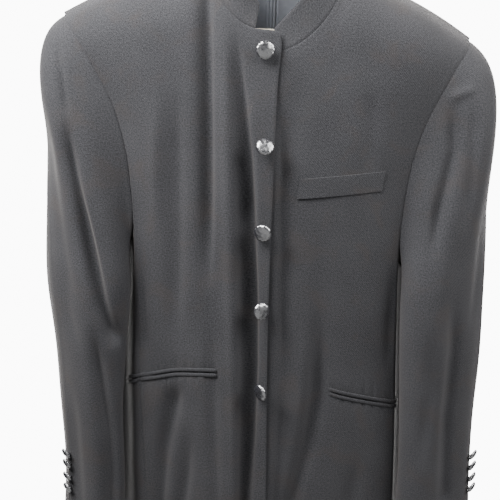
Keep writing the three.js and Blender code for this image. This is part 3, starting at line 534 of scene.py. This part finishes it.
def joinTriangles(piece, within):
    # pairs of a solid's triangles that lie within this many degrees of each other become squares
    pickOnly(piece)
    bpy.ops.object.mode_set(mode="EDIT")
    bpy.ops.mesh.select_all(action="SELECT")
    bpy.ops.mesh.tris_convert_to_quads(face_threshold=math.radians(within), shape_threshold=math.radians(180))
    bpy.ops.object.mode_set(mode="OBJECT")


def dress(piece, node, material):
    piece.data.materials.clear()
    piece.data.materials.append(material)
    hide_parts(node)
    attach(piece, "root")


def thickenCloth(piece, thick):
    pickOnly(piece)
    wall = piece.modifiers.new("wall", "SOLIDIFY")
    wall.thickness = thick
    wall.offset = -1
    wall.use_even_offset = False
    bpy.ops.object.modifier_apply(modifier=wall.name)
    bpy.ops.object.shade_smooth_by_angle(angle=sharpFrom)


def edgePoints(piece):
    # numbers of the points on a skin's open edges
    mesh = piece.data
    uses = np.zeros(len(mesh.edges), dtype=int)
    edgeOfLoop = np.empty(len(mesh.loops), dtype=int)
    mesh.loops.foreach_get("edge_index", edgeOfLoop)
    np.add.at(uses, edgeOfLoop, 1)
    ends = np.empty(len(mesh.edges) * 2, dtype=int)
    mesh.edges.foreach_get("vertices", ends)
    return np.unique(ends.reshape(-1, 2)[uses == 1])


def closeSeams(skins, reach):
    # edge points of pieces that face each other across a seam, each the other's nearest, meet halfway
    trees = {}
    for piece in skins:
        points = pointsOf(piece)
        numbers = edgePoints(piece)
        tree = KDTree(len(numbers))
        for number in numbers:
            tree.insert(points[number], int(number))
        tree.balance()
        trees[piece.name] = (tree, points, numbers)
    groups = {}
    for name, (_, points, numbers) in trees.items():
        for number in numbers:
            for other, (otherTree, _, _) in trees.items():
                if other == name:
                    continue
                spot, near, away = otherTree.find(points[number])
                if away > reach or trees[name][0].find(spot)[1] != number:
                    continue
                mine = groups.setdefault((name, int(number)), {(name, int(number))})
                theirs = groups.setdefault((other, near), {(other, near)})
                joined = mine | theirs
                for member in joined:
                    groups[member] = joined
    for piece in skins:
        points = pointsOf(piece)
        for number in trees[piece.name][2]:
            group = groups.get((piece.name, int(number)))
            if group:
                points[number] = np.mean([trees[owner][1][k] for owner, k in group], axis=0)
        putPoints(piece, points)


def alongPath(across, down, path):
    # distance to a path of straight steps, which side of it, and how far along it, from 0 to 1
    path = np.array(path, dtype=float)
    steps = np.linalg.norm(np.diff(path, axis=0), axis=1)
    before = np.concatenate([[0], np.cumsum(steps)])
    best = np.full(across.shape, np.inf)
    side = np.zeros(across.shape)
    share = np.zeros(across.shape)
    for (ax, ad), (bx, bd), step, gone in zip(path[:-1], path[1:], steps, before[:-1]):
        t = np.clip(((across - ax) * (bx - ax) + (down - ad) * (bd - ad)) / step**2, 0, 1)
        dx = across - (ax + (bx - ax) * t)
        dd = down - (ad + (bd - ad) * t)
        away = np.hypot(dx, dd)
        nearer = away < best
        best = np.where(nearer, away, best)
        side = np.where(nearer, np.sign(dx), side)
        share = np.where(nearer, (gone + t * step) / before[-1], share)
    return best, side, share


def smooth(value):
    value = np.clip(value, 0, 1)
    return value * value * (3 - 2 * value)


shortFade = 1e-3  # share of its path in which a crease with no fade begins or ends


def pressCreases(piece, creases, facing):
    # each crease is a soft trough, or a ridge where it is below 0, steeper on its narrow side
    points = pointsOf(piece)
    normals = normalsOf(piece)
    across = points[:, 0] / mm - jacketAt["x"]
    down = -points[:, 2] / mm - jacketAt["down"]
    seen = smooth(normals @ np.array(facing) * 2)
    move = np.zeros(len(points))
    for path, (left, right), deep, (start, end) in creases:
        away, side, share = alongPath(across, down, path)
        half = np.where(side < 0, left, right)
        fade = smooth(share / max(start, shortFade)) * smooth((1 - share) / max(end, shortFade))
        move += deep * np.exp(-((away / half) ** 2)) * fade
    putPoints(piece, points - normals * (move * seen * mm)[:, None])


def rumple(piece, fit, seed):
    # slow uneven swells of the hanging cloth, longer downwards than across, and none at the seams
    points = pointsOf(piece)
    normals = normalsOf(piece)
    deep = fit["rumpleDeep"] * smooth(edgeDistance(piece) / fit["rumpleFade"])
    wave = fit["rumpleWave"]
    long = wave * fit["rumpleLong"]
    move = np.array([noise.noise(Vector((p[0] / wave, p[1] / wave, p[2] / long + seed))) for p in points])
    putPoints(piece, points + normals * (move * deep)[:, None])


def edgeDistance(piece):
    numbers = edgePoints(piece)
    points = pointsOf(piece)
    tree = KDTree(len(numbers))
    for k, number in enumerate(numbers):
        tree.insert(points[number], k)
    tree.balance()
    return np.array([tree.find(point)[2] for point in points])


def rollEdges(piece, fit):
    # cut edges are turned under, so the cloth dips at each seam and edge and swells beside it
    points = pointsOf(piece)
    normals = normalsOf(piece)
    away = edgeDistance(piece) / mm
    dip = fit["dip"] * np.exp(-((away / fit["dipWide"]) ** 2))
    swell = fit["swell"] * np.exp(-(((away - fit["swellAt"]) / fit["swellWide"]) ** 2))
    putPoints(piece, points + normals * ((swell - dip) * mm)[:, None])


# towards is the way a panel's skin faces, flat the cut's width and length in metres, area its flat area
clothPanels = {
    "front_right": {"towards": (0, -1, 0), "flat": (0.27, 0.76), "area": 0.14, "seed": 1.3},
    "front_left": {"towards": (0, -1, 0), "flat": (0.27, 0.76), "area": 0.14, "seed": 4.1},
    "side_panel_right": {"towards": (-1, 0, 0), "flat": (0.15, 0.48), "area": 0.06, "seed": 7.7},
    "side_panel_left": {"towards": (1, 0, 0), "flat": (0.15, 0.48), "area": 0.06, "seed": 2.9},
    "back_right": {"towards": (0, 1, 0), "flat": (0.26, 0.77), "area": 0.16, "seed": 5.2},
    "back_left": {"towards": (0, 1, 0), "flat": (0.26, 0.77), "area": 0.16, "seed": 8.4},
    "topsleeve_right": {"towards": (-1, 0, 0), "flat": (0.22, 0.62), "area": 0.1, "seed": 3.3},
    "topsleeve_left": {"towards": (1, 0, 0), "flat": (0.22, 0.62), "area": 0.1, "seed": 6.8},
    "undersleeve_right": {"towards": (0, 1, 0), "flat": (0.17, 0.57), "area": 0.07, "seed": 9.1},
    "undersleeve_left": {"towards": (0, 1, 0), "flat": (0.17, 0.57), "area": 0.07, "seed": 0.6},
    "collar_band": {"towards": (0, -1, 0), "flat": (0.46, 0.06), "area": 0.015, "seed": 2.2},
}
clothFit = {
    "cadThick": 0.002, "thick": 0.0012, "levels": 3, "seamReach": 0.0035,
    "rumpleDeep": 0.0011, "rumpleWave": 0.045, "rumpleLong": 3.2, "rumpleFade": 0.012,
}
edgeFit = {"dip": 0.45, "dipWide": 0.9, "swell": 0.2, "swellAt": 3.2, "swellWide": 2.0}

# each crease: its path across and down in mm, half widths to its left and right, depth in mm (a ridge
# where it is below 0), and the shares of the path in which it begins and ends
lapCreases = [
    ([(-37, 70), (-31, 110), (-24, 160), (-18, 220), (-15, 300)], (11, 3.4), 7.0, (0.45, 0.15)),
    ([(-18, 170), (-15, 240), (-13, 310), (-10, 380), (-8, 450), (-9, 540), (-12, 620), (-15, 720)],
     (15, 4.2), 10.5, (0.25, 0.1)),
]
frontRightCreases = lapCreases + [
    ([(-66, 30), (-65, 75), (-62, 190), (-60.5, 320), (-62, 380)], (9, 5), 6.0, (0.06, 0.35)),
    ([(-46, 90), (-40, 240), (-33, 420), (-28, 560), (-27, 720)], (7, 8), -2.4, (0.15, 0.1)),
    ([(-97, 120), (-96, 240), (-96, 330), (-99, 440)], (13, 8), 3.6, (0.3, 0.25)),
    ([(-118, 130), (-122, 220), (-120, 330)], (7, 8), -1.8, (0.4, 0.4)),
    ([(-94, 478), (-102, 520), (-112, 570), (-118, 640), (-120, 740)], (13, 7), 7.0, (0.12, 0.15)),
    ([(-80, 520), (-86, 600), (-96, 680), (-104, 760)], (10, 7), 5.0, (0.35, 0.05)),
    ([(-56, 380), (-54, 480), (-50, 580), (-46, 740)], (9, 6), 2.6, (0.35, 0.1)),
    ([(-138, 330), (-134, 420), (-132, 450)], (6, 5), 2.0, (0.4, 0.2)),
]
frontLeftCreases = lapCreases + [
    ([(14, 140), (18, 200), (23, 317), (26, 420), (33, 510)], (5, 9), 5.2, (0.25, 0.3)),
    ([(24, 470), (24, 560), (20, 660), (16, 750)], (7, 8), 5.0, (0.25, 0.1)),
    ([(63, 374), (68, 440), (68, 496), (58, 560), (42, 627), (30, 720)], (11, 7), 6.5, (0.3, 0.15)),
    ([(46, 400), (48, 480), (42, 560)], (8, 8), -2.2, (0.4, 0.4)),
    ([(112, 130), (115, 239)], (10, 8), 1.9, (0.35, 0.35)),
    ([(118, 560), (112, 640), (98, 740)], (11, 8), 3.6, (0.35, 0.05)),
    ([(150, 330), (148, 420), (150, 470)], (6, 6), 2.0, (0.4, 0.3)),
]
backRightCreases = [
    ([(-118, 190), (-128, 400), (-126, 640)], (12, 9), 3.0, (0.3, 0.3)),
    ([(-56, 300), (-50, 560), (-46, 740)], (9, 7), 2.7, (0.4, 0.1)),
    ([(-18, 110), (-60, 128), (-112, 120)], (8, 8), 1.7, (0.3, 0.4)),
]
backLeftCreases = [
    ([(134, 210), (140, 420), (136, 650)], (9, 12), 3.0, (0.3, 0.3)),
    ([(66, 260), (62, 520), (58, 740)], (7, 9), 2.7, (0.4, 0.1)),
    ([(20, 116), (64, 136), (118, 130)], (8, 8), 1.7, (0.3, 0.4)),
]
sleeveRightCreases = [
    ([(-232, 91), (-222, 130), (-214, 182)], (4, 3.4), 2.2, (0.3, 0.3)),
    ([(-219, 175), (-204, 257), (-191, 322), (-178, 384), (-160, 440)], (10, 5), 9.5, (0.2, 0.1)),
    ([(-246, 150), (-240, 240), (-226, 330), (-206, 420)], (8, 8), 2.6, (0.3, 0.3)),
    ([(-192, 400), (-182, 470), (-174, 540), (-172, 600), (-176, 668)], (11, 6), 8.5, (0.25, 0.1)),
    ([(-232, 330), (-222, 400), (-205, 450)], (9, 8), 2.6, (0.4, 0.4)),
    ([(-222, 470), (-218, 560), (-214, 660)], (9, 8), 2.8, (0.35, 0.1)),
]
sleeveLeftCreases = [
    ([(201, 150), (205, 205), (191, 275), (187, 330)], (6, 7), 6.0, (0.25, 0.3)),
    ([(224, 150), (226, 222), (220, 300)], (6, 7), 3.6, (0.25, 0.35)),
    ([(228, 138), (212, 144), (196, 152)], (5, 5), -2.4, (0.3, 0.3)),
    ([(214, 350), (224, 430), (222, 520), (228, 640)], (11, 8), 6.0, (0.3, 0.1)),
    ([(188, 400), (196, 480), (190, 580)], (8, 8), 3.2, (0.35, 0.35)),
    ([(250, 250), (250, 340), (244, 430)], (7, 7), 2.2, (0.4, 0.4)),
]

creasesOf = {
    "front_right": (frontRightCreases, (0, -1, 0)),
    "front_left": (frontLeftCreases, (0, -1, 0)),
    "back_right": (backRightCreases, (0, 1, 0)),
    "back_left": (backLeftCreases, (0, 1, 0)),
    "topsleeve_right": (sleeveRightCreases, (0, -1, 0)),
    "topsleeve_left": (sleeveLeftCreases, (0, -1, 0)),
}

# hip pockets: the cloth sinks along the slot and puckers above and below the lips
pocketFit = {
    "right": {
        "node": "front_right", "slot": [(-49, 463), (-92, 466), (-121, 477), (-156, 488)],
        "puckers": [-62, -75, -86, -97, -103, -110, -117, -124],
    },
    "left": {
        "node": "front_left", "slot": [(80, 486), (113, 494), (135, 499), (160, 502)],
        "puckers": [96, 108, 121, 133, 144],
    },
    "above": 20, "below": 17, "deep": 1.1, "half": 1.9, "gap": 5, "lean": 2.0,
    "slotDeep": 1.6, "slotHalf": 2.6, "slotFade": 0.05, "puckerFade": 0.8,
}


def slotDown(slot, across):
    order = sorted(slot)
    return float(np.interp(across, [p[0] for p in order], [p[1] for p in order]))


def pocketCreases(fit, pocket):
    creases = [(pocket["slot"], (fit["slotHalf"],) * 2, fit["slotDeep"], (fit["slotFade"],) * 2)]
    for k, across in enumerate(pocket["puckers"]):
        middle = slotDown(pocket["slot"], across)
        lean = (k % 3 - 1) * fit["lean"]
        long = 0.7 + 0.3 * ((k * 5) % 4) / 3  # uneven, from 0.7 to 1
        above = (middle - fit["gap"], -fit["above"] * long)
        below = (middle + fit["gap"], fit["below"] * long)
        for start, run in (above, below):
            path = [(across, start), (across + lean, start + run)]
            creases.append((path, (fit["half"],) * 2, fit["deep"] * long, (0.0, fit["puckerFade"])))
    return creases


for side in ("right", "left"):
    pocket = pocketFit[side]
    creasesOf[pocket["node"]][0].extend(pocketCreases(pocketFit, pocket))

panels = {}
for node, fit in clothPanels.items():
    piece = copyOfNode(node, node + "_cloth")
    keepOuterSkin(piece, Vector(fit["towards"]), clothFit["cadThick"])
    panels[node] = piece
print("skins taken from the frame")

closeSeams(list(panels.values()), clothFit["seamReach"])
for piece in panels.values():
    unwrapCloth(piece)
    subdivide(piece, clothFit["levels"], "PRESERVE_CORNERS")
closeSeams(list(panels.values()), clothFit["seamReach"])
for node, fit in clothPanels.items():
    piece = panels[node]
    rumple(piece, clothFit, fit["seed"])
    if node in creasesOf:
        pressCreases(piece, *creasesOf[node])
    rollEdges(piece, edgeFit)
closeSeams(list(panels.values()), clothFit["seamReach"])
for node, piece in panels.items():
    thickenCloth(piece, clothFit["thick"])
    dress(piece, node, wool)
print("cloth panels made")


# chest welt and pocket lips: sewn down, each sinks some tenths of a millimetre into the soft cloth
trimFit = {
    "joinWithin": 60, "bevel": 0.0004, "bevelOver": 50, "levels": 2, "sharpFrom": 60,
    "weltSink": 0.9, "lipSink": 1.2,
}
trimsOf = {
    "front_right": ["hip_lip_upper_right", "hip_lip_lower_right"],
    "front_left": ["chest_welt", "hip_lip_upper_left", "hip_lip_lower_left"],
}


def finishTrim(node, fit):
    piece = copyOfNode(node, node + "_cloth")
    joinTriangles(piece, fit["joinWithin"])
    if node == "chest_welt":
        soft = piece.modifiers.new("soft", "BEVEL")
        soft.width = fit["bevel"]
        soft.segments = 2
        soft.angle_limit = math.radians(fit["bevelOver"])
        bpy.ops.object.modifier_apply(modifier=soft.name)
    subdivide(piece, fit["levels"])
    bpy.ops.object.mode_set(mode="EDIT")
    bpy.ops.mesh.select_all(action="SELECT")
    bpy.ops.uv.cube_project(cube_size=1.0, correct_aspect=False)
    bpy.ops.object.mode_set(mode="OBJECT")
    bpy.ops.object.shade_smooth_by_angle(angle=math.radians(fit["sharpFrom"]))
    points = pointsOf(piece)
    points[:, 1] += (fit["weltSink"] if node == "chest_welt" else fit["lipSink"]) * mm
    putPoints(piece, points)
    dress(piece, node, wool)
    return piece


for node, fit in clothPanels.items():
    trims = [finishTrim(trim, trimFit) for trim in trimsOf.get(node, [])]
print("welt and lips made")


liningFit = {
    "cadThick": 0.001, "levels": 4, "thick": 0.0006, "flat": (0.12, 0.11), "area": 0.0119,
    # pleats by turns shallow and deep, from over the top edge to below the bottom one
    "pleats": (-1.5, 2.5, 6.5, 10.5), "half": (1.28, 0.8), "deep": (0.77, 1.1),
    "lean": 1.5, "from": -10, "to": 140,
}
liningSkin = copyOfNode("neck_lining", "neck_lining_satin")
keepOuterSkin(liningSkin, Vector((0, -1, 0)), liningFit["cadThick"])
unwrapCloth(liningSkin)
subdivide(liningSkin, liningFit["levels"], "PRESERVE_CORNERS")
pressCreases(liningSkin, [
    ([(at, liningFit["from"]), (at + liningFit["lean"], liningFit["to"])], liningFit["half"],
     liningFit["deep"][k % 2], (0.0, 0.0))
    for k, at in enumerate(liningFit["pleats"])
], (0, -1, 0))
thickenCloth(liningSkin, liningFit["thick"])
dress(liningSkin, "neck_lining", lining)
print("neck lining made")


# profile: radius as a share of the button's, and height in mm, from the back to the crown
buttonFit = {
    "front": {"radius": 10.0, "shank": 2.2, "profile": [
        (0.86, -1.1), (0.97, -0.6), (1.0, 0.4), (0.98, 1.4),
        (0.88, 2.7), (0.66, 3.5), (0.36, 3.95), (0.12, 4.05),
    ]},
    "cuff": {"radius": 7.4, "shank": 1.8, "profile": [
        (0.86, -0.9), (0.97, -0.5), (1.0, 0.3), (0.97, 1.1),
        (0.86, 2.1), (0.64, 2.8), (0.35, 3.15), (0.12, 3.25),
    ]},
    "sides": 24, "levels": 2,
    "gathers": 11, "gatherDeep": 0.22, "gatherFrom": 0.62, "gatherWide": 0.3,
    "crumple": 0.35, "crumplePerMetre": 260, "crumpleFull": 2,
    "rimShare": 0.8, "seatPoints": 6, "shankSides": 16, "shankBevel": 0.0004,
    "sleeveMiddle": (0.208, -0.048),  # across and forward, in metres
}


def buttonHead(name, fit, seed):
    # a disc is added at the back and drawn up ring by ring to the crown
    radius = fit["radius"] * mm
    first = fit["profile"][0]
    bpy.ops.object.select_all(action="DESELECT")
    bpy.ops.mesh.primitive_circle_add(
        vertices=buttonFit["sides"], radius=radius * first[0], fill_type="TRIFAN",
        location=(0, 0, first[1] * mm),
    )
    head = bpy.context.object
    head.name = name
    bpy.ops.object.transform_apply(location=True, rotation=True, scale=True)
    bpy.ops.object.mode_set(mode="EDIT")
    bpy.ops.mesh.select_all(action="SELECT")
    bpy.ops.mesh.flip_normals()
    bpy.ops.mesh.select_all(action="DESELECT")
    bpy.ops.mesh.select_mode(type="EDGE")
    bpy.ops.mesh.select_non_manifold()
    for (beforeShare, beforeHigh), (share, high) in zip(fit["profile"][:-1], fit["profile"][1:]):
        bpy.ops.mesh.extrude_edges_move(TRANSFORM_OT_translate={"value": (0, 0, (high - beforeHigh) * mm)})
        grow = share / beforeShare
        bpy.ops.transform.resize(value=(grow, grow, 1), center_override=(0, 0, high * mm))
    bpy.ops.mesh.edge_face_add()
    bpy.ops.mesh.poke()
    bpy.ops.mesh.select_all(action="SELECT")
    bpy.ops.mesh.normals_make_consistent(inside=False)
    bpy.ops.object.mode_set(mode="OBJECT")
    subdivide(head, buttonFit["levels"])
    # the satin gathers round the rim and crumples a little on the crown
    points = pointsOf(head)
    turn = np.arctan2(points[:, 1], points[:, 0])
    out = np.hypot(points[:, 0], points[:, 1]) / radius
    gather = np.sin(turn * buttonFit["gathers"] + seed + 1.7 * np.sin(2 * turn + seed))
    swell = gather * smooth((out - buttonFit["gatherFrom"]) / buttonFit["gatherWide"])
    swell *= buttonFit["gatherDeep"]
    fine = buttonFit["crumplePerMetre"]
    crumple = np.array([noise.noise(Vector(p) * fine + Vector((seed, 0, seed))) for p in points])
    crown = smooth(points[:, 2] / (buttonFit["crumpleFull"] * mm))
    points[:, 2] += crumple * buttonFit["crumple"] * crown * mm
    points[:, :2] *= (1 + swell * mm / np.maximum(out * radius, mm))[:, None]
    putPoints(head, points)
    return head


def placeButton(node, kind, seed):
    # the solid gives the place of the head's middle, the way it faces and where its thread is sewn
    fit = buttonFit[kind]
    source = frame["nodes"][node]
    points = np.array([source.matrix_world @ v.co for v in source.data.vertices])
    points = np.unique(points.round(6), axis=0)
    middle = points.mean(axis=0)
    axis = np.linalg.svd(points - middle)[2][2]
    sleeveAcross, sleeveForward = buttonFit["sleeveMiddle"]
    sleeve = np.array([math.copysign(sleeveAcross, middle[0]), sleeveForward, middle[2]])
    outwards = np.array([0, -1, 0]) if kind == "front" else middle - sleeve
    if axis @ outwards < 0:
        axis = -axis
    off = points - middle
    away = np.linalg.norm(off - np.outer(off @ axis, axis), axis=1)
    rim = points[away > buttonFit["rimShare"] * fit["radius"] * mm]
    centre = Vector(rim.mean(axis=0))
    facing = Vector(axis)
    sideways = Vector((0, 0, 1)).cross(facing).normalized()
    turned = Matrix((sideways, facing.cross(sideways), facing)).transposed().to_4x4()
    head = buttonHead(node + "_satin", fit, seed)
    head.data.transform(Matrix.Translation(centre) @ turned)
    # the shank runs from inside the head to the thread's seat on the cloth
    innermost = points[np.argmin(points @ outwards)]
    inwardsFirst = np.argsort((points - innermost) @ outwards)
    seat = Vector(points[inwardsFirst[:buttonFit["seatPoints"]]].mean(axis=0))
    run = centre - seat
    bpy.ops.object.select_all(action="DESELECT")
    bpy.ops.mesh.primitive_cylinder_add(
        vertices=buttonFit["shankSides"], radius=fit["shank"] * mm, depth=run.length
    )
    shank = bpy.context.object
    bpy.ops.object.mode_set(mode="EDIT")
    bpy.ops.mesh.select_all(action="SELECT")
    bpy.ops.mesh.bevel(offset=buttonFit["shankBevel"], segments=2)
    bpy.ops.object.mode_set(mode="OBJECT")
    upright = run.to_track_quat("Z", "Y").to_matrix().to_4x4()
    shank.data.transform(Matrix.Translation((centre + seat) / 2) @ upright)
    head.select_set(True)
    bpy.context.view_layer.objects.active = head
    bpy.ops.object.join()
    bpy.ops.object.shade_smooth_by_angle(angle=sharpFrom)
    dress(head, node, satin)


for k in range(1, 6):
    placeButton(f"front_button_{k}", "front", 0.7 * k)
for side in ("right", "left"):
    for k in range(1, 5):
        placeButton(f"cuff_button_{side}_{k}", "cuff", 1.1 * k + (3 if side == "left" else 0))
print("buttons made")


hangerFit = {"joinWithin": 40, "levels": 2}


def finishRod(node, material):
    piece = copyOfNode(node, node + "_round")
    joinTriangles(piece, hangerFit["joinWithin"])
    subdivide(piece, hangerFit["levels"])
    bpy.ops.object.shade_smooth()
    dress(piece, node, material)


finishRod("hanger_arms", plastic)
finishRod("hanger_bar", plastic)
finishRod("hanger_hook", steel)
print("hanger made")

floorFit = {"down": 1.45, "radius": 0.95, "sides": 96, "colour": (0.22, 0.22, 0.22, 1), "roughness": 0.9}

bpy.ops.object.select_all(action="DESELECT")
bpy.ops.mesh.primitive_circle_add(
    vertices=floorFit["sides"], radius=floorFit["radius"], fill_type="NGON",
    location=(0, 0, -floorFit["down"]),
)
floor = bpy.context.object
floor.name = "floor"
floorPaint, tree, shader = startMaterial("paleFloor")
setSockets(tree, shader, {"Base Color": floorFit["colour"], "Roughness": floorFit["roughness"]})
floor.data.materials.append(floorPaint)
print("floor laid")
